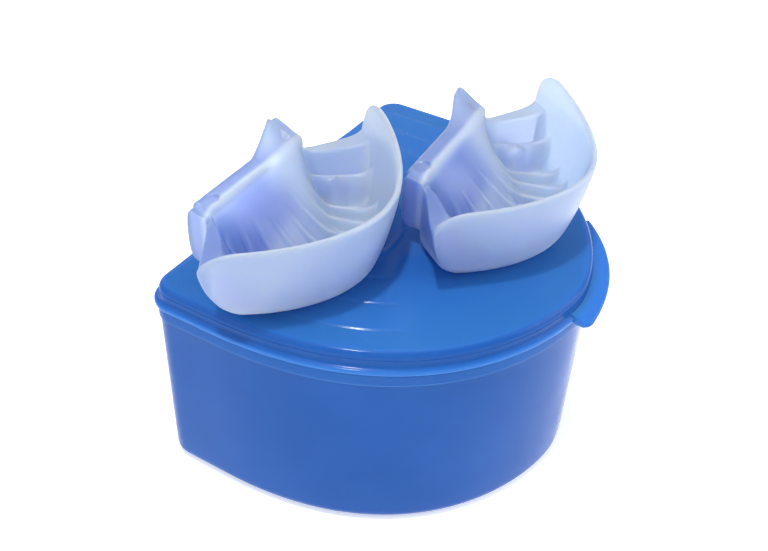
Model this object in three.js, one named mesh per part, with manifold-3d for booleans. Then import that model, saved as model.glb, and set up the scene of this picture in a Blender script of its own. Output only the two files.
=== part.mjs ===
// Two boil-and-bite mouthguards lying on the lid of a hinged, D-shaped plastic case.
// Millimetres, +Z up. The origin is the middle of the flat underside of the case;
// the straight hinge side of the case faces +Y and the rounded side with the thumb tab faces -Y.
import * as THREE from "three";
import { mergeVertices } from "three/addons/utils/BufferGeometryUtils.js";
import Module from "manifold-3d";

const wasm = await Module();
wasm.setup();

// ---------------------------------------------------------------- driving dimensions

// Case outline, seen from above, at the lower edge of the lid
const CASE_WIDTH = 90; // along the hinge side
const CASE_DEPTH = 71.6; // from the hinge side to the rounded front
const STRAIGHT_SIDE = 16; // length of each straight side next to the hinge side
const CORNER_RADIUS = 5.5; // of the two corners at the hinge side
const FRONT_FULLNESS = 0.82; // how far the side runs on before it turns to the front
const NOSE_FULLNESS = 0.24; // how flat the middle of the front is

// Heights
const SEAM_HEIGHT = 41.6; // underside of the lid's rim
const LID_HEIGHT = 5.6; // from the seam to the top of the lid
const SEAM_GAP = 0.3; // between the base's collar and the lid's rim

// Base
const BASE_INSET = 0.8; // base wall inside the lid's rim
const BASE_WALL = 1.8;
const BASE_FLOOR = 2.0;
const BASE_EDGE_RADIUS = 3.0; // rounded bottom edge
const COLLAR_HEIGHT = 2.8; // slightly thicker band under the seam
const COLLAR_INSET = 0.5;
const LIP_HEIGHT = 2.8; // upstand inside the lid, above the seam
const LIP_WALL = 1.3;

// Lid
const LID_WALL_INSET = 0.8; // skirt wall inside the lid's rim
const LID_WALL = 1.2;
const LID_TOP = 1.6; // thickness of the top
const LID_RIM_HEIGHT = 1.0; // vertical edge of the rim at the seam
const LID_EDGE_RADIUS = 2.2; // rounded top edge
const LIP_CLEARANCE = 0.3; // between the lid's skirt and the base's lip

// Thumb tab, an arc on the lid's rim to the right of the middle of the front
const TAB_CENTRE = [-1.6, -0.6]; // centre of its edge's arc
const TAB_RADIUS = 38.1;
const TAB_START = -95; // degrees
const TAB_END = -42;
const TAB_THICKNESS = 1.5;

// Hinge
const PIN_RADIUS = 1.1;
const PIN_CLEARANCE = 0.1;
const BARREL_RADIUS = 1.8;
const BARREL_GAP = 0.3; // to everything that turns past a barrel
const HINGE_DROP = 4.8; // the hinge's axis below the seam, hidden behind the case
const HINGE_ARM = 1.3; // thickness of the arm that carries the lid's barrel
const HINGE_LENGTH = 64;
const BASE_KNUCKLE = 11; // length of each of the base's two knuckles

// Mouthguard: rim of the outer wall, seen from above
const RIM_HALF_WIDTH = 28.0;
const RIM_DEPTH = 18.6; // from the ends of the outer wall to the front
const RIM_POWER = 1.95; // 2 is a parabola
const GUARD_HEIGHT = 18.6; // height of the outer wall
const WALL_DRAFT_SIDE = 6.4; // how far the foot of the wall stands in from the rim at the ends
const WALL_DRAFT_FRONT = 4.4; // the same at the front
const GUARD_WALL = 1.7;
const GUARD_FLOOR = 3.2;
const CHANNEL_WIDTH = 8.2; // flat floor for the teeth
const CREST_HALF_WIDTH = 15.6; // crest of the palate web
const CREST_SETBACK = 14.0; // how far the crest's back edge lies behind the ends of the wall
const CREST_BAND = 4.6; // flat band along the crest
const CREST_HEIGHT = 16.5;
const CREST_FLARE = 2.6; // how far the crest's right end turns back
const CREST_FLARE_RISE = 1.8; // and how far it rises
const END_SHARE = 0.9; // share of the half arch where the channel ends in a solid wall
const END_RAMP_START = 0.8; // share of the half arch where the floor starts to climb to that wall
const END_WALL_TOP = 13.6; // height of the two end walls
const END_WALL_FOOT = 3.6; // height of their lower back corner
const RIB_HEIGHT = 1.6; // bite ribs across the channel
const RIB_PLACES = [0.16, 0.27, 0.385, 0.5, 0.615, 0.73, 0.84];
const RIB_HALF_WIDTH = 0.011;

// Where each mouthguard lies on the lid: middle of the ends of its outer wall, and its turn
const REST_GAP = 0.3;
const LEFT_GUARD = { x: -23.1, y: 14.6, turn: 1.5 };
const RIGHT_GUARD = { x: 8.8, y: -10.9, turn: 4.3 };

// Colours
const CASE_BLUE = 0x2f6fc4;
const GUARD_FROST = 0xb4c6f0;

// ---------------------------------------------------------------- helpers

const plane = (x, y) => new THREE.Vector2(x, y);
const space = (x, y, z) => new THREE.Vector3(x, y, z);
const lerp = THREE.MathUtils.lerp;
const radians = THREE.MathUtils.degToRad;

function solidOf(geometry) {
  const bare = geometry.clone();
  bare.deleteAttribute("normal");
  bare.deleteAttribute("uv");
  const merged = mergeVertices(bare, 1e-4);
  return new wasm.Manifold(
    new wasm.Mesh({
      numProp: 3,
      vertProperties: merged.attributes.position.array,
      triVerts: new Uint32Array(merged.index.array),
    }),
  );
}

function geometryOf(solid) {
  const mesh = solid.getMesh();
  const geometry = new THREE.BufferGeometry();
  geometry.setAttribute("position", new THREE.BufferAttribute(mesh.vertProperties, 3));
  geometry.setIndex(new THREE.BufferAttribute(mesh.triVerts, 1));
  geometry.computeVertexNormals();
  return geometry;
}

// A closed body through a row of rings with equal numbers of points, with both ends capped.
function loft(rings) {
  const count = rings[0].length;
  const points = rings.flat();
  const index = [];
  for (let k = 0; k + 1 < rings.length; k++)
    for (let i = 0; i < count; i++) {
      const j = (i + 1) % count;
      const [a, b] = [k * count + i, k * count + j];
      const [c, d] = [a + count, b + count];
      index.push(a, b, d, a, d, c);
    }
  const cap = (ring, first, flip) => {
    const normal = space(0, 0, 0);
    ring.forEach((p, i) => normal.add(p.clone().cross(ring[(i + 1) % count])));
    const turn = new THREE.Quaternion().setFromUnitVectors(normal.normalize(), space(0, 0, 1));
    const flat = ring.map((p) => p.clone().applyQuaternion(turn)).map((p) => plane(p.x, p.y));
    for (const [a, b, c] of THREE.ShapeUtils.triangulateShape(flat, []))
      index.push(first + a, first + (flip ? c : b), first + (flip ? b : c));
  };
  cap(rings[0], 0, true);
  cap(rings.at(-1), (rings.length - 1) * count, false);
  const geometry = new THREE.BufferGeometry().setFromPoints(points);
  geometry.setIndex(index);
  return geometry;
}

function cylinderAlongX(radius, from, to, y, z) {
  const geometry = new THREE.CylinderGeometry(radius, radius, to - from, 32);
  geometry.rotateZ(Math.PI / 2);
  geometry.translate((from + to) / 2, y, z);
  return solidOf(geometry);
}

function block(x, y, z) {
  const geometry = new THREE.BoxGeometry(x[1] - x[0], y[1] - y[0], z[1] - z[0]);
  geometry.translate((x[0] + x[1]) / 2, (y[0] + y[1]) / 2, (z[0] + z[1]) / 2);
  return solidOf(geometry);
}

// A straight bar along X whose section is given as (y, z) points, anticlockwise seen from +X.
const prismAlongX = (section, from, to) =>
  solidOf(loft([from, to].map((x) => section.map(([y, z]) => space(x, y, z)))));

// ---------------------------------------------------------------- case outline

const BACK = CASE_DEPTH / 2; // y of the hinge side
const HALF = CASE_WIDTH / 2;

// Right half from the middle of the hinge side to the nose, then mirrored.
const halfOutline = new THREE.CurvePath();
const sideEnd = BACK - STRAIGHT_SIDE;
const frontRun = CASE_DEPTH - STRAIGHT_SIDE;
const corner = plane(HALF - CORNER_RADIUS, BACK - CORNER_RADIUS);
const cornerPoint = (t) => {
  const angle = (Math.PI / 2) * (1 - t);
  return plane(
    corner.x + CORNER_RADIUS * Math.cos(angle),
    corner.y + CORNER_RADIUS * Math.sin(angle),
  );
};
halfOutline.add(new THREE.LineCurve(plane(0, BACK), cornerPoint(0)));
halfOutline.add(new THREE.LineCurve(cornerPoint(1), plane(HALF, sideEnd)));
halfOutline.add(
  new THREE.CubicBezierCurve(
    plane(HALF, sideEnd),
    plane(HALF, sideEnd - FRONT_FULLNESS * frontRun),
    plane(NOSE_FULLNESS * HALF, -BACK),
    plane(0, -BACK),
  ),
);
const [backEdge, side, front] = halfOutline.curves;
const rightHalf = [
  ...backEdge.getPoints(3).slice(1, -1),
  ...[0, 0.25, 0.5, 0.75, 1].map(cornerPoint),
  side.getPoint(0.55),
  ...front.getSpacedPoints(22).slice(0, -1),
];
const leftHalf = rightHalf.map((p) => plane(-p.x, p.y));
const outline = [plane(0, BACK), ...leftHalf, plane(0, -BACK), ...rightHalf.toReversed()];

// Outward direction at each point of the outline, mitred so that an inset keeps its width.
const outward = outline.map((p, i) => {
  const before = outline.at(i - 1);
  const after = outline[(i + 1) % outline.length];
  const a = p.clone().sub(before).normalize();
  const b = after.clone().sub(p).normalize();
  const mid = plane(a.y + b.y, -(a.x + b.x)).normalize();
  return mid.multiplyScalar(1 / Math.max(0.5, mid.dot(plane(a.y, -a.x))));
});

const ringAt = (inset, z) =>
  outline.map((p, i) => space(p.x - inset * outward[i].x, p.y - inset * outward[i].y, z));

// A quarter round between two (inset, z) points: the first end leaves along the inset, or along z.
function quarter(from, to, alongInset, steps = 4) {
  const points = [];
  for (let k = 0; k <= steps; k++) {
    const t = (k / steps) * (Math.PI / 2);
    const [u, v] = alongInset ? [Math.sin(t), 1 - Math.cos(t)] : [1 - Math.cos(t), Math.sin(t)];
    points.push([lerp(from[0], to[0], u), lerp(from[1], to[1], v)]);
  }
  return points;
}

const shell = (profile) => solidOf(loft(profile.map(([inset, z]) => ringAt(inset, z))));

// ---------------------------------------------------------------- hinge

const HINGE_Y = BACK + BARREL_RADIUS;
const HINGE_Z = SEAM_HEIGHT - HINGE_DROP;
const hingeHalf = HINGE_LENGTH / 2;
const knuckleInner = hingeHalf - BASE_KNUCKLE; // inner face of each base knuckle
const lidBarrelHalf = knuckleInner - BARREL_GAP;
const pinHole = cylinderAlongX(
  PIN_RADIUS + PIN_CLEARANCE,
  -hingeHalf - 1,
  hingeHalf + 1,
  HINGE_Y,
  HINGE_Z,
);

// ---------------------------------------------------------------- base

function caseBase() {
  const outer = BASE_INSET;
  const inner = BASE_INSET + BASE_WALL;
  const seam = SEAM_HEIGHT - SEAM_GAP;
  const lipOuter = LID_WALL_INSET + LID_WALL + LIP_CLEARANCE;
  const lipInner = lipOuter + LIP_WALL;
  const lipTop = SEAM_HEIGHT + LIP_HEIGHT;
  const collarFoot = SEAM_HEIGHT - COLLAR_HEIGHT;
  const r = BASE_EDGE_RADIUS;
  const innerRound = r - (BASE_WALL + BASE_FLOOR) / 4;
  let body = shell([
    ...quarter([outer + r, 0], [outer, r], true),
    [outer, collarFoot - 0.6],
    [COLLAR_INSET, collarFoot],
    [COLLAR_INSET, seam],
    [lipOuter, seam],
    [lipOuter, lipTop - 0.4],
    [lipOuter + 0.4, lipTop],
    [lipInner - 0.3, lipTop],
    [lipInner, lipTop - 0.3],
    [lipInner, seam],
    [inner, seam - 2 * (lipInner - inner)],
    ...quarter([inner, BASE_FLOOR + innerRound], [inner + innerRound, BASE_FLOOR], false),
  ]);
  for (const end of [-1, 1]) {
    const span = [end * hingeHalf, end * knuckleInner].sort((a, b) => a - b);
    const wallFace = BACK - BASE_INSET - BASE_WALL / 2;
    body = body
      .add(cylinderAlongX(BARREL_RADIUS, span[0], span[1], HINGE_Y, HINGE_Z))
      .add(block(span, [wallFace, HINGE_Y], [HINGE_Z - BARREL_RADIUS, HINGE_Z + BARREL_RADIUS / 2]));
  }
  return body.subtract(pinHole);
}

// ---------------------------------------------------------------- lid

// The tab's plan: an arc with a rounded corner where it starts, closed inside the lid's rim.
function tabShape() {
  const [cx, cy] = TAB_CENTRE;
  const at = (radius, degrees) =>
    plane(cx + radius * Math.cos(radians(degrees)), cy + radius * Math.sin(radians(degrees)));
  const shape = new THREE.Shape();
  const cornerDegrees = 2.4;
  const begin = at(TAB_RADIUS, TAB_START + cornerDegrees);
  shape.moveTo(begin.x, begin.y);
  for (let k = 1; k <= 16; k++) {
    const p = at(TAB_RADIUS, lerp(TAB_START + cornerDegrees, TAB_END, k / 16));
    shape.lineTo(p.x, p.y);
  }
  const inside = [at(TAB_RADIUS - 8, TAB_END), at(TAB_RADIUS - 8, TAB_START)];
  for (const p of inside) shape.lineTo(p.x, p.y);
  const foot = at(TAB_RADIUS - 1.6, TAB_START);
  shape.lineTo(foot.x, foot.y);
  const tip = at(TAB_RADIUS, TAB_START);
  shape.quadraticCurveTo(tip.x, tip.y, begin.x, begin.y);
  return shape;
}

function caseLid() {
  const top = SEAM_HEIGHT + LID_HEIGHT;
  const wall = LID_WALL_INSET;
  const inner = wall + LID_WALL;
  const under = top - LID_TOP;
  const rimTop = SEAM_HEIGHT + LID_RIM_HEIGHT;
  const r = LID_EDGE_RADIUS;
  const innerRound = r - (LID_WALL + LID_TOP) / 4;
  const body = shell([
    ...quarter([inner + innerRound, under], [inner, under - innerRound], true),
    [inner, SEAM_HEIGHT],
    [0.3, SEAM_HEIGHT],
    [0, SEAM_HEIGHT + 0.3],
    [0, rimTop],
    [wall, rimTop + wall],
    ...quarter([wall, top - r], [wall + r, top], false),
  ]);
  const tab = new THREE.ExtrudeGeometry(tabShape(), { depth: TAB_THICKNESS, bevelEnabled: false });
  tab.translate(0, 0, SEAM_HEIGHT);
  const hollow = shell([
    [inner, SEAM_HEIGHT - 1],
    [inner, under - innerRound],
  ]);
  let lid = body.add(solidOf(tab).subtract(hollow));
  const armInner = BACK - COLLAR_INSET + BARREL_GAP;
  const armOuter = armInner + HINGE_ARM;
  const arm = [
    [armInner, HINGE_Z],
    [armOuter, HINGE_Z],
    [armOuter, SEAM_HEIGHT],
    [armInner, rimTop],
  ];
  const root = [
    [BACK - wall - LID_WALL / 2, SEAM_HEIGHT],
    [armOuter, SEAM_HEIGHT],
    [BACK, rimTop],
    [BACK - wall - LID_WALL / 2, rimTop],
  ];
  lid = lid
    .add(cylinderAlongX(BARREL_RADIUS, -lidBarrelHalf, lidBarrelHalf, HINGE_Y, HINGE_Z))
    .add(prismAlongX(arm, -lidBarrelHalf, lidBarrelHalf))
    .add(prismAlongX(root, -lidBarrelHalf, lidBarrelHalf))
    .subtract(pinHole);
  for (const end of [-1, 1]) {
    const faces = [end * (hingeHalf + BARREL_GAP), end * (knuckleInner - BARREL_GAP)];
    const [from, to] = faces.sort((a, b) => a - b);
    lid = lid.subtract(cylinderAlongX(BARREL_RADIUS + BARREL_GAP, from, to, HINGE_Y, HINGE_Z));
  }
  return lid;
}

function hingePin() {
  return cylinderAlongX(PIN_RADIUS, -hingeHalf + 0.4, hingeHalf - 0.4, HINGE_Y, HINGE_Z);
}

// ---------------------------------------------------------------- mouthguard

// Height of the channel's floor, with the ribs across it.
function channelFloor(s) {
  const isRib = RIB_PLACES.some((place) => Math.abs(s - place) < RIB_HALF_WIDTH * 1.01);
  return isRib ? GUARD_FLOOR + RIB_HEIGHT : GUARD_FLOOR;
}

// One cross-section of the mouthguard, from the outer wall over the channel to the crest and back
// along the underside. s runs from 0 at the left end of the arch to 1 at the right end.
function guardSection(s) {
  const u = 2 * s - 1; // -1 at the left end, 0 at the front, 1 at the right end
  const arch = (halfWidth, depth) =>
    plane(halfWidth * u, -depth * (1 - Math.abs(u) ** RIM_POWER));
  const rim = arch(RIM_HALF_WIDTH, RIM_DEPTH);
  const foot = arch(RIM_HALF_WIDTH - WALL_DRAFT_SIDE, RIM_DEPTH - WALL_DRAFT_FRONT);
  const crestFront = plane(CREST_HALF_WIDTH * u, CREST_SETBACK - CREST_BAND);
  const flare = THREE.MathUtils.smoothstep(u, 0.6, 1);
  const crestBack = plane(CREST_HALF_WIDTH * u, CREST_SETBACK + CREST_FLARE * flare);
  const crestTop = CREST_HEIGHT + CREST_FLARE_RISE * flare;
  const inwards = crestFront.clone().sub(foot).normalize();
  const from = (origin, distance) => origin.clone().addScaledVector(inwards, distance);
  const floorInner = from(foot, GUARD_WALL + CHANNEL_WIDTH);
  const end = THREE.MathUtils.smoothstep(Math.abs(u), END_SHARE - 0.04, END_SHARE);
  const climb = (Math.abs(u) - END_RAMP_START) / (END_SHARE - END_RAMP_START);
  const ramp = THREE.MathUtils.clamp(climb, 0, 1) ** 1.5;
  const floor = lerp(channelFloor(s), END_WALL_TOP, ramp);
  const floorRise = (floor - GUARD_FLOOR) / (GUARD_HEIGHT - GUARD_FLOOR);
  const floorOuter = from(foot, GUARD_WALL + 0.4).lerp(from(rim, GUARD_WALL), floorRise);
  const rise = crestFront.distanceTo(floorInner);
  const domeHeight = (t) => lerp(GUARD_FLOOR, crestTop, Math.sin((t * Math.PI) / 2));
  const under = (t, thickness) =>
    lerp(domeHeight(t) - thickness, lerp(1.4, END_WALL_FOOT - 0.6, t), end);
  const at = (p, z) => space(p.x, p.y, z);
  const onDome = (t, z) => at(floorInner.clone().lerp(crestFront, t), z);
  const shellWall = Math.min(GUARD_WALL, rise);
  return [
    at(rim, GUARD_HEIGHT),
    at(from(rim, GUARD_WALL), GUARD_HEIGHT),
    at(floorOuter, Math.max(GUARD_FLOOR + 0.8, floor)),
    at(from(floorOuter, 0.8), floor),
    at(from(floorInner, -0.8), floor),
    at(floorInner, Math.max(GUARD_FLOOR + 0.8, floor)),
    onDome(0.35, Math.max(domeHeight(0.35), floor)),
    onDome(0.65, Math.max(domeHeight(0.65), floor)),
    onDome(1, crestTop),
    at(crestBack, crestTop - 0.8),
    at(crestBack, lerp(crestTop - 0.8 - GUARD_WALL, END_WALL_FOOT, end)),
    onDome(1, under(1, GUARD_WALL + 0.4)),
    onDome(0.65, under(0.65, GUARD_WALL + 0.8)),
    onDome(0.35, under(0.35, GUARD_WALL + 1.6)),
    at(from(floorInner, shellWall), 1.2),
    at(from(floorInner, shellWall - 1.2), 0),
    at(from(foot, 1.6), 0),
    at(foot, 1.6),
  ];
}

function mouthguard() {
  const stations = new Set();
  for (let k = 0; k <= 24; k++) stations.add(k / 24);
  for (const share of [END_SHARE - 0.04, END_SHARE])
    for (const side of [-1, 1]) stations.add((1 + side * share) / 2);
  for (const place of RIB_PLACES)
    for (const offset of [-1.6, -1, 1, 1.6]) stations.add(place + offset * RIB_HALF_WIDTH);
  const isInRib = (s) =>
    RIB_PLACES.some((place) => Math.abs(s - place) < 1.6 * RIB_HALF_WIDTH - 1e-6);
  const isRibEdge = (s) =>
    RIB_PLACES.some((place) => Math.abs(Math.abs(s - place) - RIB_HALF_WIDTH) < 1e-6);
  const places = [...stations].filter((s) => !isInRib(s) || isRibEdge(s)).sort((a, b) => b - a);
  return solidOf(loft(places.map(guardSection)));
}

// ---------------------------------------------------------------- assembly

function piece(name, solid, color, roughness) {
  const material = new THREE.MeshStandardMaterial({ color, roughness, metalness: 0 });
  const mesh = new THREE.Mesh(geometryOf(solid), material);
  mesh.name = name;
  return mesh;
}

const group = new THREE.Group();
group.add(piece("case_base", caseBase(), CASE_BLUE, 0.25));
group.add(piece("case_lid", caseLid(), CASE_BLUE, 0.25));
group.add(piece("hinge_pin", hingePin(), CASE_BLUE, 0.35));
for (const [name, place] of [
  ["mouthguard_left", LEFT_GUARD],
  ["mouthguard_right", RIGHT_GUARD],
]) {
  const guard = piece(name, mouthguard(), GUARD_FROST, 0.5);
  guard.position.set(place.x, place.y, SEAM_HEIGHT + LID_HEIGHT + REST_GAP);
  guard.rotation.z = radians(place.turn);
  group.add(guard);
}

export default group;
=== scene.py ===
"""Two frosted mouthguards lying on the lid of a translucent blue, D-shaped hinged case.

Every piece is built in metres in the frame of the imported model: +Z up, the case's hinge on the
+Y side, its rounded front and thumb tab on the -Y side.
"""
import math

import bmesh
import bpy
import numpy as np
from bpy.props import FloatProperty, FloatVectorProperty, PointerProperty
from mathutils import Matrix, Vector


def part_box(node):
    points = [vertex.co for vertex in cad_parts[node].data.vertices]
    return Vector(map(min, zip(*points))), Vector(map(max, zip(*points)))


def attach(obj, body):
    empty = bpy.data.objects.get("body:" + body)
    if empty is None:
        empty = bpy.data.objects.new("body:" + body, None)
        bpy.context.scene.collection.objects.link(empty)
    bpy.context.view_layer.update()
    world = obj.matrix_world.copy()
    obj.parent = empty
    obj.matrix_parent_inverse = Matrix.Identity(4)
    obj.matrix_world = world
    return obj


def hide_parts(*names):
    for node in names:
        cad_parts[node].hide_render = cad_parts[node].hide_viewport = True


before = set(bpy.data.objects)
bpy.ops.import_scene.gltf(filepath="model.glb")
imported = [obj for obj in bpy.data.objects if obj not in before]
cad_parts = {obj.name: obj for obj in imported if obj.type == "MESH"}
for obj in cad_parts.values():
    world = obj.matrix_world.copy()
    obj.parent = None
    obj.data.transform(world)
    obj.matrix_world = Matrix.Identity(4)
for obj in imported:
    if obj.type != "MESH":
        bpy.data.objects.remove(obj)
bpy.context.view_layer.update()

bl_info = {
    "name": "Mouthguards With Case",
    "version": (1, 0, 0),
    "blender": (4, 5, 0),
    "location": "View3D > Sidebar > Mouthguards",
    "description": "Builds a hinged plastic case and the two mouthguards that lie on its lid",
    "category": "Add Mesh",
}

LID_LOW, LID_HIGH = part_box("case_lid")
PIN_LOW, PIN_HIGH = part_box("hinge_pin")
LID_TOP = LID_HIGH.z
PIN_MIDDLE = (PIN_LOW + PIN_HIGH) / 2

# small sizes that the mouldings share, in metres
HAIR = 0.0001
SOFT_EDGE = 0.0003

# painted light: how much lighter each part of the case is painted, standing in for light through
# thinner plastic and light on the lid's top and rim, from 0 for none to 1 for most
PAINTED_LIGHT_COLLAR = 0.18
PAINTED_LIGHT_HINGE = 0.3
PAINTED_LIGHT_RIM = 0.5
PAINTED_LIGHT_LID_TOP = 0.28
PAINTED_LIGHT_TAB = 0.45


def length(name, description, default, digits=4):
    """A size in metres."""
    return FloatProperty(
        name=name, description=description, default=default, unit="LENGTH", precision=digits
    )


def share(name, description, default):
    """A plain ratio."""
    return FloatProperty(name=name, description=description, default=default, precision=3)


def angle(name, description, degrees):
    """An angle, given in degrees and kept in radians."""
    return FloatProperty(
        name=name, description=description, default=math.radians(degrees), unit="ROTATION"
    )


def colour(name, description, default):
    """A linear colour."""
    return FloatVectorProperty(
        name=name, description=description, default=default, subtype="COLOR", size=3, min=0, max=1
    )


# ---------------------------------------------------------------- sizes and colours


class CaseSizes(bpy.types.PropertyGroup):
    """Sizes of the case."""

    width: length("Width", "Case width along the hinge", LID_HIGH.x - LID_LOW.x)
    depth: length("Depth", "From the hinge side to the rounded front", 0.0716)
    straight_side: length("Straight side", "Straight run of each side next to the hinge", 0.016)
    corner_radius: length("Corner radius", "Radius of the two corners at the hinge", 0.0055)
    front_fullness: share("Front fullness", "How far the sides run on before they turn", 0.82)
    nose_fullness: share("Nose fullness", "How flat the middle of the front is", 0.24)
    seam: length("Seam height", "Height of the lid's lower edge", 0.0416)
    seam_gap: length("Seam gap", "Gap under the lid's lower edge", 0.0003)
    base_inset: length("Base inset", "Base wall inside the lid's rim", 0.0008)
    base_wall: length("Base wall", "Thickness of the base's wall", 0.0018)
    base_floor: length("Base floor", "Thickness of the base's floor", 0.002)
    base_edge: length("Base edge radius", "Rounding of the bottom edge", 0.003)
    collar_height: length("Collar height", "Thicker band under the seam", 0.0028)
    collar_inset: length("Collar inset", "Collar face inside the lid's rim", 0.0005)
    lip_inset: length("Lip inset", "Outer face of the lip inside the lid's rim", 0.0023)
    lip_wall: length("Lip wall", "Thickness of the lip", 0.0013)
    lip_height: length("Lip height", "How far the lip stands above the seam", 0.0028)
    lid_wall: length("Lid wall", "Thickness of the lid's skirt", 0.0012)
    lid_top_wall: length("Lid top thickness", "Thickness of the lid's top", 0.0016)
    step_height: length("Step height", "Height of each of the lid's shallow steps", 0.0003, 5)
    step_spacing: length("Step spacing", "Distance between the lid's steps", 0.0072)
    ring_x: length("Ring X", "Centre of the raised ring on the lid", -0.0100)
    ring_y: length("Ring Y", "Centre of the raised ring on the lid", 0.0190)
    ring_radius: length("Ring radius", "Radius of the raised ring on the lid", 0.017)
    ring_height: length("Ring height", "Height of the raised ring on the lid", 0.0003, 5)
    tab_radius: length("Tab radius", "Radius of the thumb tab's edge", 0.0381)
    tab_x: length("Tab centre X", "X of the centre of the tab's edge", -0.0016)
    tab_y: length("Tab centre Y", "Y of the centre of the tab's edge", -0.0006)
    tab_start: angle("Tab start", "Where the tab starts, from +X", -95)
    tab_end: angle("Tab end", "Where the tab runs into the rim, from +X", -42)
    tab_thickness: length("Tab thickness", "Thickness of the thumb tab", 0.0015)
    barrel_radius: length("Barrel radius", "Radius of the hinge barrel", 0.0018)
    barrel_gap: length("Barrel gap", "Gap between the hinge barrels", 0.0003)
    knuckle: length("Knuckle length", "Length of each of the base's knuckles", 0.011)
    hinge_length: length("Hinge length", "Length of all the hinge barrels", 0.064)
    hinge_arm: length("Hinge arm", "Thickness of the arm that carries the lid's barrel", 0.0013)
    pin_hole: length("Pin hole radius", "Radius of the hole for the pin", 0.0012)


class GuardSizes(bpy.types.PropertyGroup):
    """Sizes of each mouthguard."""

    half_width: length("Half width", "Half the width of the outer wall's rim", 0.0286)
    depth: length("Depth", "From the ends of the outer wall to its front", 0.0186)
    power: share("Arch power", "Shape of the arch; 2 is a parabola", 1.95)
    height: length("Height", "Height of the outer wall", 0.0186)
    draft_side: length("Side draft", "How far the wall's foot stands in at the ends", 0.0062)
    draft_front: length("Front draft", "How far the wall's foot stands in at the front", 0.0044)
    wall: length("Wall", "Thickness of the walls", 0.0017)
    floor: length("Floor", "Thickness of the channel's floor", 0.0032)
    channel: length("Channel width", "Width of the channel's floor", 0.0082)
    crest_half_width: length("Crest half width", "Half the palate web's width at its crest", 0.0156)
    crest_setback: length("Crest setback", "Crest's back edge behind the ends of the wall", 0.014)
    crest_band: length("Crest band", "Width of the flat band along the crest", 0.0046)
    crest_height: length("Crest height", "Height of the crest", 0.0165)
    flare: length("Crest flare", "How far the crest's right end turns back", 0.0034)
    flare_rise: length("Crest flare rise", "How far the crest's right end rises", 0.0050)
    crest_drop: length("Crest drop", "How far the crest's front edge falls at both ends", 0.0016)
    ear_back: length("Ear reach", "How far the outer wall's ends run on backwards", 0.0012)
    ear_rise: length("Ear rise", "How far the outer wall's right end rises", 0.0044)
    heel_back: length("Heel reach", "How far the ends of the wall's foot run on backwards", 0.0022)
    heel_round: share("Heel rounding", "Share of the half arch that the rounded heel takes", 0.11)
    heel_lift: length("Heel lift", "How far the underside rises at the very ends", 0.0034)
    dome_steepness: share("Dome steepness", "1 is a quarter round, 0 a straight slope", 0.1)
    boss_x: length("Boss X", "Small boss on the right ramp", 0.0150)
    boss_y: length("Boss Y", "Small boss on the right ramp", 0.0012)
    ramp_start: share("Ramp start", "Where the floor starts to climb to the end walls", 0.7)
    end_share: share("End share", "Where the channel ends in a solid wall", 0.9)
    end_wall_top: length("End wall top", "Height of the two end walls", 0.0138)
    end_wall_foot: length("End wall foot", "Height of their lower back corner", 0.0036)
    rib_height: length("Rib height", "Height of the bite ribs", 0.0024)
    rib_half: share("Rib half width", "Half a rib's width, as a share of the arch", 0.011)
    end_round: share("End rounding", "Share of the half arch that the rounded end takes", 0.16)
    tip_drop: length("Tip drop", "How far the wall's rounded top corner drops", 0.0042)
    left_x: length("Left X", "Where the left mouthguard lies", -0.0231)
    left_y: length("Left Y", "Where the left mouthguard lies", 0.0146)
    left_turn: angle("Left turn", "How the left mouthguard is turned", 1.5)
    right_x: length("Right X", "Where the right mouthguard lies", 0.0088)
    right_y: length("Right Y", "Where the right mouthguard lies", -0.0109)
    right_turn: angle("Right turn", "How the right mouthguard is turned", 4.3)


class Finishes(bpy.types.PropertyGroup):
    """Colours of the plastics and the stage."""

    case_blue: colour("Case blue", "Translucent blue of the case", (0.016, 0.100, 0.39))
    case_deep: colour("Deep blue", "Blue where the plastic is thick", (0.011, 0.085, 0.35))
    # painted light: lighter blue painted where light shines through the case or falls on its top
    # and edges
    case_lit_blue: colour("Painted light blue", "Lighter blue where the plastic is thin", (0.06, 0.27, 0.74))
    guard_frost: colour("Frost", "Milky body of the mouthguards", (0.29, 0.40, 0.78))
    guard_shade: colour("Frost shade", "Cooler milk in the thick parts", (0.20, 0.31, 0.70))
    # painted light: brighter milk painted where the mouthguards would be lit
    guard_lit_frost: colour("Painted light frost", "Brighter milk at thin edges", (0.70, 0.80, 1.0))
    floor_colour: colour("Floor", "Pale floor", (0.93, 0.93, 0.93))


class StageSizes(bpy.types.PropertyGroup):
    """Camera and lights."""

    azimuth: angle("Azimuth", "Camera's turn round the object", -60.84)
    elevation: angle("Elevation", "Camera's height angle", 38.63)
    roll: angle("Roll", "Camera's roll", 2.85)
    distance: length("Distance", "Camera to its target", 0.2251)
    lens: FloatProperty(name="Lens", description="Focal length", default=45.46, unit="CAMERA")
    target_x: length("Target X", "Point that the camera looks at", 0.00955)
    target_y: length("Target Y", "Point that the camera looks at", 0.01424)
    target_z: length("Target Z", "Point that the camera looks at", 0.02143)
    floor_size: length("Floor size", "Edge length of the floor", 6.0)


# ---------------------------------------------------------------- mesh helpers


def placed(name, data):
    """An object with this data, in the scene."""
    made = bpy.data.objects.new(name, data)
    bpy.context.scene.collection.objects.link(made)
    return made


def mesh_from(name, points, faces):
    """A mesh object from points and faces, with its normals facing out."""
    mesh = bpy.data.meshes.new(name)
    mesh.from_pydata([tuple(p) for p in points], [], faces)
    work = bmesh.new()
    work.from_mesh(mesh)
    bmesh.ops.recalc_face_normals(work, faces=work.faces)
    work.to_mesh(mesh)
    work.free()
    return placed(name, mesh)


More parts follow.
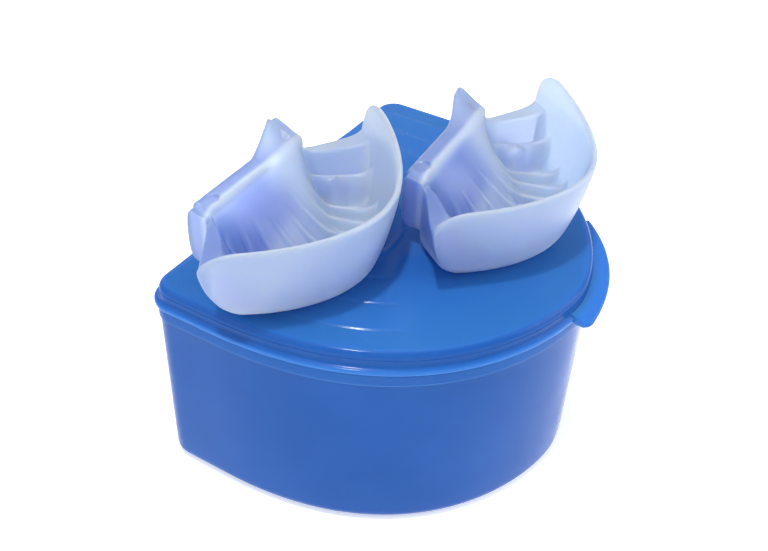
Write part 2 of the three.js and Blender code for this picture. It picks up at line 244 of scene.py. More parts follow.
def ring_faces(rings, count, capped=False):
    """Quads between rings that follow each other, each of count points, and a cap at each end."""
    faces = []
    for k in range(rings - 1):
        for i in range(count):
            a, b = k * count + i, k * count + (i + 1) % count
            faces.append((a, b, b + count, a + count))
    if capped:
        faces.append(tuple(range(count)))
        faces.append(tuple(range((rings - 1) * count, rings * count)))
    return faces


def only(obj):
    """Makes obj the one selected and active object."""
    bpy.ops.object.select_all(action="DESELECT")
    obj.select_set(True)
    bpy.context.view_layer.objects.active = obj


def joined(pieces, name):
    """Joins the pieces into the first one."""
    only(pieces[0])
    for piece in pieces:
        piece.select_set(True)
    bpy.ops.object.join()
    pieces[0].name = name
    pieces[0].data.name = name
    return pieces[0]


def smooth(obj, degrees=40):
    """Smooth shading that keeps edges sharper than the angle."""
    for face in obj.data.polygons:
        face.use_smooth = True
    obj.data.set_sharp_from_angle(angle=math.radians(degrees))
    return obj


def arc(start, end, first_along_x, steps=6):
    """A quarter round between two points; it leaves the first along x, or along y."""
    points = []
    for k in range(steps + 1):
        t = k / steps * math.pi / 2
        u, v = math.sin(t), 1 - math.cos(t)
        if not first_along_x:
            u, v = 1 - math.cos(t), math.sin(t)
        points.append(
            (start[0] + (end[0] - start[0]) * u, start[1] + (end[1] - start[1]) * v)
        )
    return points


def turned_about_x(name, profile, centre, segments=40):
    """A closed ring of (x, radius) points turned about the X direction through centre."""
    points = []
    for k in range(segments):
        t = 2 * math.pi * k / segments
        points += [
            Vector((x, centre.y + r * math.cos(t), centre.z + r * math.sin(t)))
            for x, r in profile
        ]
    count = len(profile)
    faces = []
    for k in range(segments):
        for i in range(count):
            here, ahead = k * count, (k + 1) % segments * count
            j = (i + 1) % count
            faces.append((here + i, here + j, ahead + j, ahead + i))
    return mesh_from(name, points, faces)


def hinge_barrel(name, start, end, radius, hole):
    """A hollow hinge barrel from start to end along X, with rounded outer edges."""
    profile = [
        *arc((start, radius - SOFT_EDGE), (start + SOFT_EDGE, radius), False, 3),
        *arc((end - SOFT_EDGE, radius), (end, radius - SOFT_EDGE), True, 3),
        (end, hole + HAIR),
        (end - HAIR, hole),
        (start + HAIR, hole),
        (start, hole + HAIR),
    ]
    return turned_about_x(name, profile, PIN_MIDDLE)


def rounded_block(name, low, high, radius):
    """A block with rounded edges."""
    work = bmesh.new()
    bmesh.ops.create_cube(work, size=1)
    middle, size = (low + high) / 2, high - low
    for vert in work.verts:
        vert.co = Vector(c * s + m for c, s, m in zip(vert.co, size, middle))
    bmesh.ops.bevel(
        work, geom=list(work.edges), offset=radius, segments=3, profile=0.5, affect="EDGES"
    )
    mesh = bpy.data.meshes.new(name)
    work.to_mesh(mesh)
    work.free()
    return placed(name, mesh)


def mark_painted_light(obj, values):
    """Stores how much painted light each vertex gets, from 0 to 1, or one value for all."""
    store = obj.data.attributes.new("painted_light", "FLOAT", "POINT")
    store.data.foreach_set("value", np.full(len(obj.data.vertices), values, np.float32))
    return obj


def coordinates(obj):
    """The vertices as an array."""
    flat = np.empty(len(obj.data.vertices) * 3, np.float32)
    obj.data.vertices.foreach_get("co", flat)
    return flat.reshape(-1, 3).astype(float)


def ease(value, low, high):
    """Smooth step from 0 at low to 1 at high, for numbers and arrays."""
    t = np.clip((value - low) / (high - low), 0, 1)
    return t * t * (3 - 2 * t)


# ---------------------------------------------------------------- case outline


def front_point(size, t):
    """Point on the right half of the rounded front; t runs from the side to the nose."""
    half, back = size.width / 2, size.depth / 2
    side_end = back - size.straight_side
    run = size.depth - size.straight_side
    controls = (
        (half, side_end),
        (half, side_end - size.front_fullness * run),
        (size.nose_fullness * half, -back),
        (0, -back),
    )
    weights = ((1 - t) ** 3, 3 * (1 - t) ** 2 * t, 3 * (1 - t) * t**2, t**3)
    return tuple(sum(w * c[i] for w, c in zip(weights, controls)) for i in (0, 1))


def case_outline(size, spacing=0.0007):
    """Points of the D outline, from the middle of the hinge side, and their outward normals."""
    half, back, r = size.width / 2, size.depth / 2, size.corner_radius
    side_end = back - size.straight_side
    corner_steps, front_steps = 12, 90
    dense = [(0, back), (half - r, back)]
    for k in range(1, corner_steps + 1):
        t = math.pi / 2 * (1 - k / corner_steps)
        dense.append((half - r + r * math.cos(t), back - r + r * math.sin(t)))
    dense.append((half, side_end))
    dense += [front_point(size, k / front_steps) for k in range(1, front_steps + 1)]
    dense = np.array(dense)
    step = np.linalg.norm(np.diff(dense, axis=0), axis=1)
    along = np.concatenate([[0], np.cumsum(step)])
    even = np.linspace(0, along[-1], round(along[-1] / spacing) + 1)
    right = np.stack([np.interp(even, along, dense[:, i]) for i in (0, 1)], axis=1)
    left = right * (-1, 1)
    points = np.concatenate([left, right[-2:0:-1]])
    ahead = np.roll(points, -1, axis=0) - np.roll(points, 1, axis=0)
    normals = np.stack([ahead[:, 1], -ahead[:, 0]], axis=1)
    normals /= np.linalg.norm(normals, axis=1, keepdims=True)
    return points, normals


def ring_at(points, normals, inset, height):
    """The outline drawn in by inset, at a height."""
    flat = points - inset * normals
    return np.column_stack([flat, np.full(len(flat), height)])


def distance_to_line(places, line, closed):
    """Distance of each place to a line of points."""
    ends = np.roll(line, -1, axis=0) if closed else line[1:]
    starts = line if closed else line[:-1]
    best = np.full(len(places), np.inf)
    for a, b in zip(starts, ends):
        run = b - a
        t = np.clip((places - a) @ run / (run @ run), 0, 1)
        gap = places - a - t[:, None] * run
        best = np.minimum(best, np.einsum("ij,ij->i", gap, gap))
    return np.sqrt(best)


# ---------------------------------------------------------------- materials


def node(tree, kind, place, **settings):
    """A node with its settings and plain input values."""
    made = tree.nodes.new(kind)
    made.location = place
    for name, value in settings.items():
        if name.startswith("in_"):
            made.inputs[int(name[3:])].default_value = value
        else:
            setattr(made, name, value)
    return made


def moulding_group():
    """Shared moulded surface: cloudy flow, fine texture and scuffs."""
    found = bpy.data.node_groups.get("Moulded surface")
    if found:
        return found
    tree = bpy.data.node_groups.new("Moulded surface", "ShaderNodeTree")
    new_socket = tree.interface.new_socket
    for name, default in (("Cloud scale", 40.0), ("Grain scale", 1500.0), ("Scuff scale", 300.0)):
        scale = new_socket(name=name, in_out="INPUT", socket_type="NodeSocketFloat")
        scale.default_value = default
    for name in ("Cloud", "Grain", "Scuffs"):
        new_socket(name=name, in_out="OUTPUT", socket_type="NodeSocketFloat")
    link = tree.links.new
    enter = node(tree, "NodeGroupInput", (-900, 0))
    leave = node(tree, "NodeGroupOutput", (600, 0))
    place = node(tree, "ShaderNodeTexCoord", (-900, 300))
    cloud = node(tree, "ShaderNodeTexNoise", (-500, 300), in_3=3.0, in_4=0.55)
    grain = node(tree, "ShaderNodeTexNoise", (-500, 0), in_3=2.0, in_4=0.5)
    stretch = node(tree, "ShaderNodeMapping", (-700, -300))
    stretch.inputs["Rotation"].default_value = (0.3, 0.2, 0.7)
    stretch.inputs["Scale"].default_value = (1.0, 0.08, 0.6)
    scuff = node(tree, "ShaderNodeTexNoise", (-500, -300), in_3=4.0, in_4=0.6)
    sharpen = node(tree, "ShaderNodeMapRange", (0, -300), in_1=0.62, in_2=0.78)
    for target in (cloud, grain, stretch):
        link(place.outputs["Object"], target.inputs["Vector"])
    link(stretch.outputs["Vector"], scuff.inputs["Vector"])
    for noise, name in ((cloud, "Cloud scale"), (grain, "Grain scale"), (scuff, "Scuff scale")):
        link(enter.outputs[name], noise.inputs["Scale"])
    link(scuff.outputs["Fac"], sharpen.inputs["Value"])
    link(cloud.outputs["Fac"], leave.inputs["Cloud"])
    link(grain.outputs["Fac"], leave.inputs["Grain"])
    link(sharpen.outputs["Result"], leave.inputs["Scuffs"])
    return tree


def plastic(
    name, body, deep, painted_light, rough, scuffed, bump, scales, subsurface, radius, clear, specular, ior
):
    """A moulded plastic: its colour drifts a little, and is painted lighter where the painted-light
    mask is high, standing in for light through thinner plastic and light on tops and edges.
    """
    found = bpy.data.materials.get(name)
    if found:
        return found
    material = bpy.data.materials.new(name)
    material.use_nodes = True
    tree = material.node_tree
    link = tree.links.new
    shader = tree.nodes["Principled BSDF"]
    surface = node(tree, "ShaderNodeGroup", (-1100, 0), node_tree=moulding_group())
    for socket_name, value in zip(("Cloud scale", "Grain scale", "Scuff scale"), scales):
        surface.inputs[socket_name].default_value = value
    drift = node(tree, "ShaderNodeMix", (-700, 200), data_type="RGBA")
    drift.inputs["A"].default_value = (*deep, 1)
    drift.inputs["B"].default_value = (*body, 1)
    spread = node(tree, "ShaderNodeMapRange", (-900, 200), in_1=0.35, in_2=0.6)
    # painted light: this mask mixes in the lighter colour where light would shine through or fall
    # on the plastic
    painted_light_mask = node(tree, "ShaderNodeAttribute", (-700, 450), attribute_name="painted_light")
    painted_light_mix = node(tree, "ShaderNodeMix", (-450, 200), data_type="RGBA")
    painted_light_mix.inputs["B"].default_value = (*painted_light, 1)
    rough_mix = node(tree, "ShaderNodeMapRange", (-450, -100), in_3=rough, in_4=scuffed)
    relief = node(tree, "ShaderNodeBump", (-450, -350))
    relief.inputs["Strength"].default_value = bump
    relief.inputs["Distance"].default_value = 0.00005
    link(surface.outputs["Cloud"], spread.inputs["Value"])
    link(spread.outputs["Result"], drift.inputs["Factor"])
    link(drift.outputs["Result"], painted_light_mix.inputs["A"])
    link(painted_light_mask.outputs["Fac"], painted_light_mix.inputs["Factor"])
    link(painted_light_mix.outputs["Result"], shader.inputs["Base Color"])
    link(surface.outputs["Scuffs"], rough_mix.inputs["Value"])
    link(rough_mix.outputs["Result"], shader.inputs["Roughness"])
    link(surface.outputs["Grain"], relief.inputs["Height"])
    link(relief.outputs["Normal"], shader.inputs["Normal"])
    settings = {
        "Subsurface Weight": subsurface,
        "Subsurface Radius": radius,
        "Subsurface Scale": 1.0,
        "Transmission Weight": clear,
        "Specular IOR Level": specular,
        "IOR": ior,
    }
    for setting, value in settings.items():
        shader.inputs[setting].default_value = value
    return material


def case_plastic():
    """Glossy translucent blue of the case."""
    look = bpy.context.scene.case_finishes
    return plastic(
        "Translucent blue", look.case_blue, look.case_deep, look.case_lit_blue,
        rough=0.14, scuffed=0.24, bump=0.06, scales=(26.0, 900.0, 260.0), subsurface=0.3,
        radius=(0.001, 0.002, 0.006), clear=0.0, specular=0.2, ior=1.36,
    )


def guard_plastic():
    """Frosted milky body of the mouthguards."""
    look = bpy.context.scene.case_finishes
    return plastic(
        "Frosted milk", look.guard_frost, look.guard_shade, look.guard_lit_frost,
        rough=0.3, scuffed=0.46, bump=0.2, scales=(60.0, 1800.0, 420.0), subsurface=0.7,
        radius=(0.002, 0.003, 0.005), clear=0.5, specular=0.5, ior=1.42,
    )


def finish_piece(piece, material, body, replaced, degrees=40):
    """Shades a finished piece, ties it to its body and hides the CAD node that it replaces."""
    piece.data.materials.clear()
    piece.data.materials.append(material)
    smooth(piece, degrees)
    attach(piece, body)
    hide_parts(replaced)
    return piece


# ---------------------------------------------------------------- base


class CASE_OT_base(bpy.types.Operator):
    """Builds the case's box with its collar, lip and hinge knuckles"""

    bl_idname = "mouthguard_case.base"
    bl_label = "Case base"

    def execute(self, context):
        size = context.scene.case_sizes
        points, normals = case_outline(size)
        outer, inner = size.base_inset, size.base_inset + size.base_wall
        collar, lip = size.collar_inset, size.lip_inset
        seam = size.seam - size.seam_gap
        foot, lip_top = size.seam - size.collar_height, size.seam + size.lip_height
        lip_inner = size.lip_inset + size.lip_wall
        edge, soft, lip_edge = size.base_edge, SOFT_EDGE, 0.0004
        floor, inner_edge = size.base_floor, edge - (size.base_wall + size.base_floor) / 4
        wall_top = foot - 2 * lip_edge
        wall_steps = 8
        profile = [
            *arc((outer + edge, 0), (outer, edge), True, 8),
            *[
                (outer, edge + (wall_top - edge) * k / wall_steps)
                for k in range(1, wall_steps + 1)
            ],
            *arc((outer - 0.3 * HAIR, foot - lip_edge), (collar, foot), False, 4),
            (collar, seam - soft),
            *arc((collar, seam - soft), (collar + soft, seam), False, 3)[1:],
            (lip - HAIR / 2, seam),
            (lip, seam + HAIR / 2),
            (lip, lip_top - lip_edge),
            *arc((lip, lip_top - lip_edge), (lip + lip_edge, lip_top), False, 3)[1:],
            (lip_inner - soft, lip_top),
            *arc((lip_inner - soft, lip_top), (lip_inner, lip_top - soft), True, 3)[1:],
            (lip_inner, seam),
            (inner, seam - 2 * (lip_inner - inner)),
            (inner, floor + inner_edge + 10 * HAIR),
            *arc((inner, floor + inner_edge), (inner + inner_edge, floor), False, 6),
        ]
        rings = [ring_at(points, normals, inset, height) for inset, height in profile]
        faces = ring_faces(len(rings), len(points), capped=True)
        shell = mesh_from("base_shell", np.concatenate(rings), faces)
        height = coordinates(shell)[:, 2]
        # painted light: everything above the collar's foot, collar and lip, is painted lighter,
        # standing in for light coming through the rim
        mark_painted_light(shell, PAINTED_LIGHT_COLLAR * ease(height, foot - 6 * HAIR, foot + 4 * HAIR))
        pieces = [shell, *self.knuckles(size, seam)]
        base = joined(pieces, "case_base_shell")
        finish_piece(base, case_plastic(), "case", "case_base", 35)
        return {"FINISHED"}

    def knuckles(self, size, seam):
        """The two barrels at the ends of the hinge, each on a bracket."""
        made = []
        r, hole = size.barrel_radius, size.pin_hole
        half = size.hinge_length / 2
        wall = size.depth / 2 - size.base_inset - size.base_wall / 2
        ends = {"left": (-half, size.knuckle - half), "right": (half - size.knuckle, half)}
        for side, (start, end) in ends.items():
            barrel = hinge_barrel("knuckle_" + side, start, end, r, hole)
            low = Vector((start + 2 * HAIR, wall, PIN_MIDDLE.z - r))
            high = Vector((end - 2 * HAIR, PIN_MIDDLE.y - hole, PIN_MIDDLE.z + r / 2))
            bracket = rounded_block("bracket_" + side, low, high, SOFT_EDGE)
            # painted light: the knuckles and their brackets are painted a little lighter
            for piece in (barrel, bracket):
                mark_painted_light(piece, PAINTED_LIGHT_HINGE)
            made += [barrel, bracket]
        return made


# ---------------------------------------------------------------- lid


STEPS = (1, 2, 3, 4)  # the lid's shallow steps, counted from the rim
STEP_BLEND = 0.00036  # half the width over which one step rises
STEP_CENTRE = 0.0137  # y of the point from which the smooth front sector spreads
STEP_TURN = math.radians(41)  # the sector's edge, measured down from the X direction
STEP_TURN_BLEND = 0.05  # radians over which the steps fade into the sector
STEP_BACK_FADE = (0.0075, 0.0045)  # where they fade out, in front of the hinge side
RING_SLOPE = (0.0009, 0.0001)  # outer and inner half width of the raised ring
LID_CENTRE = (0.0, 0.002)  # the point that the rings of the lid's top shrink to


def lid_height(size, places, outline):
    """Height of the lid's top: shallow steps along the sides, a smooth sector at the front."""
    half, back = size.width / 2, size.depth / 2
    front_and_sides = outline[outline[:, 1] < back - size.corner_radius]
    order = np.argsort(np.arctan2(front_and_sides[:, 0], -front_and_sides[:, 1]))
    ends = [(-half, size.depth)], [(half, size.depth)]
    line = np.concatenate([ends[0], front_and_sides[order], ends[1]])
    gap = distance_to_line(places, line, False)
    steps = sum(
        ease(gap, k * size.step_spacing - STEP_BLEND, k * size.step_spacing + STEP_BLEND)
        for k in STEPS
    )
    slope = len(STEPS) * ease(gap, 0.5 * size.step_spacing, 4.6 * size.step_spacing)
    turn = np.arctan2(STEP_CENTRE - places[:, 1], np.abs(places[:, 0]))
    stepped = 1 - ease(turn, STEP_TURN - STEP_TURN_BLEND, STEP_TURN + STEP_TURN_BLEND)
    stepped *= 1 - ease(places[:, 1], back - STEP_BACK_FADE[0], back - STEP_BACK_FADE[1])
    rise = steps * stepped + slope * (1 - stepped)
    from_centre = np.hypot(places[:, 0] - size.ring_x, places[:, 1] - size.ring_y)
    ring = size.ring_height * ease(np.abs(from_centre - size.ring_radius), *RING_SLOPE)
    return LID_TOP - (len(STEPS) - rise) * size.step_height + ring


class CASE_OT_lid(bpy.types.Operator):
    """Builds the lid with its rim, shallow steps, thumb tab and hinge barrel"""

    bl_idname = "mouthguard_case.lid"
    bl_label = "Case lid"

    def execute(self, context):
        size = context.scene.case_sizes
        points, normals = case_outline(size, 0.00045)
        count = len(points)
        seam = size.seam
        skirt = size.base_inset + 2 * HAIR
        plateau = LID_TOP - len(STEPS) * size.step_height
        profile = self.rim_profile(size, skirt, plateau)
        rings = [ring_at(points, normals, inset, height) for inset, height in profile]
        first = rings[-1][:, :2]
        centre = np.array(LID_CENTRE)
        shares = np.linspace(1, 0, 90)
        rays = centre + (first - centre)[None] * shares[:, None, None]
        depth = distance_to_line(rays.reshape(-1, 2), points, True).reshape(len(shares), count)
        for level in self.levels(size, profile[-1][0]):
            ring = np.empty((count, 2))
            for i in range(count):
                s = np.interp(level, np.maximum.accumulate(depth[:, i]), shares)
                ring[i] = centre + (first[i] - centre) * s
            rings.append(np.column_stack([ring, lid_height(size, ring, points)]))
        last = rings[-1][:, :2]
        closing = 8
        for k in range(1, closing):
            ring = centre + (last - centre) * (1 - k / closing)
            rings.append(np.column_stack([ring, lid_height(size, ring, points)]))
        middle = np.array([[*centre, lid_height(size, centre[None], points)[0]]])
        faces = ring_faces(len(rings), count)
        total = len(rings) * count
        fan = total - count
        faces += [(fan + i, fan + (i + 1) % count, total) for i in range(count)]
        faces.append(tuple(range(count)))
        shell = mesh_from("lid_shell", np.concatenate([*rings, middle]), faces)
        height = coordinates(shell)[:, 2]
        # painted light: the lid's lowest edge gets a painted highlight, and its top is painted
        # lighter as if lit from above
        rim = PAINTED_LIGHT_RIM * ease(height, seam + 16 * HAIR, seam + 6 * HAIR)
        top = PAINTED_LIGHT_LID_TOP * ease(height, plateau - 3 * HAIR, plateau)
        mark_painted_light(shell, np.maximum(rim, top))
        lid = joined([shell, self.tab(size), *self.barrel(size)], "case_lid_shell")
        finish_piece(lid, case_plastic(), "lid", "case_lid", 50)
        return {"FINISHED"}

    def rim_profile(self, size, skirt, plateau):
        """Inset and height of each ring, from the lid's underside round the rim to its top."""
        seam, soft = size.seam, SOFT_EDGE
        inner = size.base_inset + size.lid_wall
        under = LID_TOP - size.lid_top_wall
        inner_edge, top_edge = 0.0015, 0.0014
        bead_top, bead_end, shoulder = seam + 0.0008, seam + 0.0011, seam + 0.00125
        shoulder_inset, side = 0.0005, skirt + HAIR
        return [
            *arc((inner + inner_edge, under), (inner, under - inner_edge), True, 4),
            (inner, seam + HAIR / 2),
            (soft, seam),
            *arc((soft, seam), (0.0, seam + soft), True, 3)[1:],
            (0.0, bead_top),
            *arc((0.0, bead_top), (shoulder_inset / 2, bead_end), False, 3)[1:],
            (shoulder_inset, shoulder),
            *arc((shoulder_inset, shoulder), (skirt, seam + 0.0022), True, 4)[1:],
            (skirt, seam + 0.0028),
            (side, plateau - top_edge - 2 * HAIR),
            *arc((side, plateau - top_edge), (side + top_edge, plateau), False, 6),
        ]

    def levels(self, size, start):
        """Distances from the rim of the rings on the lid's top, close together at the steps."""
        deepest, apart, close = 0.0312, 0.0008, 0.00009
        fine = np.concatenate([
            k * size.step_spacing + np.arange(-4, 5) * close for k in STEPS
        ])
        coarse = np.arange(start + 2 * HAIR, deepest, apart)
        near = np.abs(coarse[:, None] - size.step_spacing * np.array(STEPS)).min(axis=1)
        return np.sort(np.concatenate([coarse[near > 5 * HAIR], fine]))

    def tab(self, size):
        """A curved plate that runs out of the rim, with a rounded free end."""
        centre = Vector((size.tab_x, size.tab_y, 0))
        points, normals = case_outline(size)
        overlap = 0.0012
        inside = points - overlap * normals
        bearing = np.arctan2(inside[:, 1] - centre.y, inside[:, 0] - centre.x)
        radius = np.hypot(inside[:, 0] - centre.x, inside[:, 1] - centre.y)
        order = np.argsort(bearing)
        sections, steps, edge_steps = [], 72, 8
        low, high = size.seam + HAIR, size.seam + HAIR + size.tab_thickness
        corner, hang, bend = 0.0022, -0.0009, 0.3
        r = size.tab_thickness / 2
        for k in range(steps + 1):
            share = k / steps
            turn = size.tab_start + (size.tab_end - size.tab_start) * share
            run = (turn - size.tab_start) * size.tab_radius
            cut = max(0.0, 1 - run / corner)
            outer = size.tab_radius - corner * (1 - math.sqrt(1 - cut * cut))
            back = np.interp(turn, bearing[order], radius[order])
            outer = max(outer, back + 2 * HAIR)
            droop = hang * (1 - ease(share, 0.0, 0.32)) * ease(outer - back, 0.0, 0.004)
            middle, height = 0.5 * (back + outer), (low + high) / 2 + droop
            shape = [(back, high), (middle, high + droop * bend)]
            for j in range(edge_steps + 1):
                t = math.pi / 2 - math.pi * j / edge_steps
                shape.append((outer - r + r * math.cos(t), height + r * math.sin(t)))
            shape += [(middle, low + droop * bend), (back, low)]
            across, along = math.cos(turn), math.sin(turn)
            sections.append([
                (centre.x + out * across, centre.y + out * along, z) for out, z in shape
            ])
        faces = ring_faces(len(sections), len(sections[0]), capped=True)
        tab = mesh_from("thumb_tab", [p for s in sections for p in s], faces)
        # painted light: the tab is painted lighter, as if light passes through it, and a little
        # darker towards its outer edge
        place = coordinates(tab)
        out = np.hypot(place[:, 0] - centre.x, place[:, 1] - centre.y)
        edge = ease(out, size.tab_radius - 12 * HAIR, size.tab_radius)
        return mark_painted_light(tab, PAINTED_LIGHT_TAB * (1 - 0.5 * edge))

    def barrel(self, size):
        """The long middle barrel of the hinge and the web that carries it."""
        hole, seam = size.pin_hole, size.seam
        end = size.hinge_length / 2 - size.knuckle - size.barrel_gap
        barrel = hinge_barrel("lid_barrel", -end, end, size.barrel_radius, hole)
        inner = size.depth / 2 - size.collar_inset + size.barrel_gap
        outer = inner + size.hinge_arm
        wall = size.depth / 2 - size.base_inset - size.lid_wall / 2
        foot, rim_top = PIN_MIDDLE.z + hole + HAIR, seam + 8 * HAIR
        section = [
            (inner, foot),
            (outer, foot),
            (outer, seam - 2 * HAIR),
            (outer - SOFT_EDGE, seam + SOFT_EDGE),
            (size.depth / 2, rim_top),
            (wall, rim_top),
            (wall, seam + HAIR),
            (inner, seam + HAIR),
        ]
        points = [(x, y, z) for x in (HAIR - end, end - HAIR) for y, z in section]
        web = mesh_from("lid_arm", points, ring_faces(2, len(section), capped=True))
        # painted light: the barrel and its arm are painted a little lighter
        for piece in (barrel, web):
            mark_painted_light(piece, PAINTED_LIGHT_HINGE)
        return [barrel, web]


# ---------------------------------------------------------------- pin


class CASE_OT_pin(bpy.types.Operator):
    """Builds the hinge pin with its rounded ends"""

    bl_idname = "mouthguard_case.pin"
    bl_label = "Hinge pin"

    def execute(self, context):
        start, end = PIN_LOW.x, PIN_HIGH.x
        r = (PIN_HIGH.z - PIN_LOW.z) / 2
        dome, core = 0.0005, HAIR / 5
        profile = [
            (start, core),
            *arc((start, r - dome), (start + dome, r), False, 4),
            *arc((end - dome, r), (end, r - dome), True, 4),
            (end, core),
        ]
        pin = turned_about_x("hinge_pin_rod", profile, PIN_MIDDLE)
        mark_painted_light(pin, 0)
        finish_piece(pin, case_plastic(), "case", "hinge_pin")
        return {"FINISHED"}


# ---------------------------------------------------------------- mouthguards

RIB_PLACES = (-0.79, -0.62, -0.44, -0.23, 0.0, 0.23, 0.44, 0.62, 0.79)  # along the half arch
WALL_SHARES = (0.9, 0.66, 0.42)  # heights on the outer wall, as shares of it
WEB_SHARES = (0.16, 0.36, 0.58, 0.8, 0.94)  # places up the palate web's face
WEB_UNDERSIDE = {0.2: 0.0010, 0.4: 0.0008, 0.6: 0.0007, 0.8: 0.0005, 0.92: 0.0004, 1.0: 0.0004}
RIM_EDGE = 0.00025  # rounding along the top of the outer wall
LOW_WALL_SHARE = 0.16  # where the outer wall meets the channel's floor
HEEL_REACH = 0.009  # height up to which the rounded heel lifts the underside
CREST_FALL_START = 0.78  # share of the half arch from which the crest falls
LEFT_CREST_LOSS = 0.0012  # how much lower and rounder the left one's peak is


def guard_section(size, u, is_left):
    """Two rows of points across the arch at u, from the outer rim to the back of the palate web.

    The first row runs along the teeth's side and the second along the outside, in pairs.
    """
    def arch(half_width, depth):
        return Vector((half_width * u, -depth * (1 - abs(u) ** size.power)))

    def quarter_round(span):
        """How far a rounded end of this share of the half arch has dropped at u, from 0 to 1."""
        into = max(0.0, (abs(u) - 1 + span) / span)
        return 1 - math.sqrt(max(0.0, 1 - into * into))

    lift = size.heel_lift * quarter_round(size.heel_round)

    def at(p, z):
        return (p.x, p.y, z + lift * max(0.0, 1 - z / HEEL_REACH))

    flare = max(0.0, (u - 0.25) / 0.75) ** (1.2 if is_left else 1.8)
    rim = arch(size.half_width, size.depth)
    rim.y += size.ear_back * abs(u) ** 6
    foot = arch(size.half_width - size.draft_side, size.depth - size.draft_front)
    foot.y += size.heel_back * abs(u) ** 6
    crest = Vector((size.crest_half_width * u, size.crest_setback - size.crest_band))
    back = Vector((size.crest_half_width * u, size.crest_setback + size.flare * flare))
    end_drop = size.crest_drop * (0.15 if u > 0 else 1.0)
    band = size.crest_height - end_drop * float(ease(abs(u), CREST_FALL_START, 1.0))
    peak_loss = LEFT_CREST_LOSS * float(ease(u, 0.93, 1.0)) if is_left else 0.0
    peak = size.crest_height - 0.0006 + size.flare_rise * flare - peak_loss
    inwards = (crest - foot).normalized()
    outwards = (rim - foot).normalized()
    top = size.height + size.ear_rise * flare - size.tip_drop * quarter_round(size.end_round)
    wall, ground = size.wall, size.floor
    closed = float(ease(abs(u), size.end_share - 0.03, size.end_share))
    is_rib = any(abs(u - place) < 2 * size.rib_half * 1.01 for place in RIB_PLACES)
    rib = size.rib_height if is_rib else 0.0
    end_top = min(size.end_wall_top, top - 0.0012)
    climb = (abs(u) - size.ramp_start) / (size.end_share - size.ramp_start)
    ramp = min(1.0, max(0.0, climb)) ** 1.5
    floor = ground + (end_top - ground) * ramp + rib * (1 - closed)
    channel_end = foot + inwards * (wall + size.channel)

    def wall_point(share, inside):
        crown, taper = 0.0005, 0.15
        lean = foot.lerp(rim, share) + outwards * (crown * math.sin(math.pi * share))
        return at(lean + inwards * (wall * (1.0 - taper * share) if inside else 0), top * share)

    def wall_inside(height):
        return wall_point(min(0.88, max(LOW_WALL_SHARE, height / top)), True)

    def dome_height(t):
        curve = size.dome_steepness * math.sin(t * math.pi / 2) + (1 - size.dome_steepness) * t
        return ground + (band - ground) * curve

    def over(t):
        wall_line = floor + (band - 0.0012 - floor) * closed * t**1.5
        flute = 0.7 * rib * max(0.0, 1 - t / 0.45)  # each rib runs a little way up the web
        return at(channel_end.lerp(crest, t), max(dome_height(t) + flute, wall_line))

    def below(t, thickness):
        free = dome_height(t) - thickness
        low = 0.0014 + (size.end_wall_foot - 0.002) * t
        return at(channel_end.lerp(crest, t), free + (low - free) * closed)

    fillet = 0.0012 + rib * 0.4
    meet = Vector(wall_inside(floor)[:2])
    teeth_side = [
        at(rim + inwards * wall * 0.78, top - RIM_EDGE),
        *[wall_inside(max(top * share, floor + fillet)) for share in WALL_SHARES],
        wall_inside(floor + fillet),
        at(meet + inwards * 0.0012, floor),
        at((meet + channel_end) / 2, floor),
        at(channel_end - inwards * 0.0010, floor),
        at(channel_end + inwards * 2 * HAIR, max(ground + 9 * HAIR, floor + HAIR)),
        *[over(t) for t in WEB_SHARES],
        at(crest.lerp(back, 0.04), band + 2 * HAIR),
        at(crest.lerp(back, 0.2), band + (peak - band) * 0.1),
        at(crest.lerp(back, 0.6), band + (peak - band) * 0.6),
        at(crest.lerp(back, 0.97), peak),
    ]
    drop = peak - wall
    low = drop + (size.end_wall_foot - drop) * closed
    outer_side = [
        at(rim + inwards * wall * 0.1, top - RIM_EDGE),
        *[wall_point(share, False) for share in (*WALL_SHARES, LOW_WALL_SHARE)],
        at(foot + inwards * 4 * HAIR, 1.5 * HAIR),
        at((foot + inwards * wall + channel_end) / 2, 0.0),
        at(channel_end + inwards * 2 * HAIR, 0.0),
        at(channel_end + inwards * min(wall, (crest - channel_end).length), 8 * HAIR),
        *[below(t, wall + extra) for t, extra in WEB_UNDERSIDE.items()],
        at(crest.lerp(back, 0.2), low + HAIR),
        at(crest.lerp(back, 0.6), low),
        at(crest.lerp(back, 0.97), low + 2 * HAIR),
    ]
    return teeth_side, outer_side


def guard_stations(size):
    """Places along the arch: evenly spread, closer at the ends and at the ribs."""
    even, reach = 28, 0.84
    places = {round(-reach + 2 * reach * k / even, 5) for k in range(even + 1)}
    edges = [2 * size.rib_half * k for k in (-1.7, -1.0, 1.0, 1.7)]
    zone = 2 * size.rib_half * 1.75
    places = {u for u in places if all(abs(u - rib) > zone for rib in RIB_PLACES)}
    places |= {rib + e for rib in RIB_PLACES for e in edges}
    ends = [size.end_share + d for d in (-0.032, -0.015, 0.0, 0.02, 0.05, 0.08)]
    places |= {side * end for side in (-1, 1) for end in [*ends, 0.994, 1.0]}
    return sorted(places)


def press_details(size, guard):
    """Sinks the round ejector mark into the crest's band and raises a boss on the right ramp."""
    place = coordinates(guard)
    x, y, z = place.T
    mark_depth, boss_height = 0.0005, 0.0018
    mark_x = -0.74 * size.crest_half_width
    mark_y = size.crest_setback - 0.5 * size.crest_band
    from_mark = np.hypot(x - mark_x, y - mark_y)
    on_band = z > size.crest_height - 16 * HAIR
    place[:, 2] -= mark_depth * ease(from_mark, 0.0021, 0.0016) * on_band
    from_boss = np.hypot(x - size.boss_x, y - size.boss_y)
    on_ramp = (z > size.floor - 4 * HAIR) & (z < 0.6 * size.end_wall_top)
    place[:, 2] += boss_height * ease(from_boss, 0.0022, 0.0004) * on_ramp
    guard.data.vertices.foreach_set("co", place.astype(np.float32).ravel())


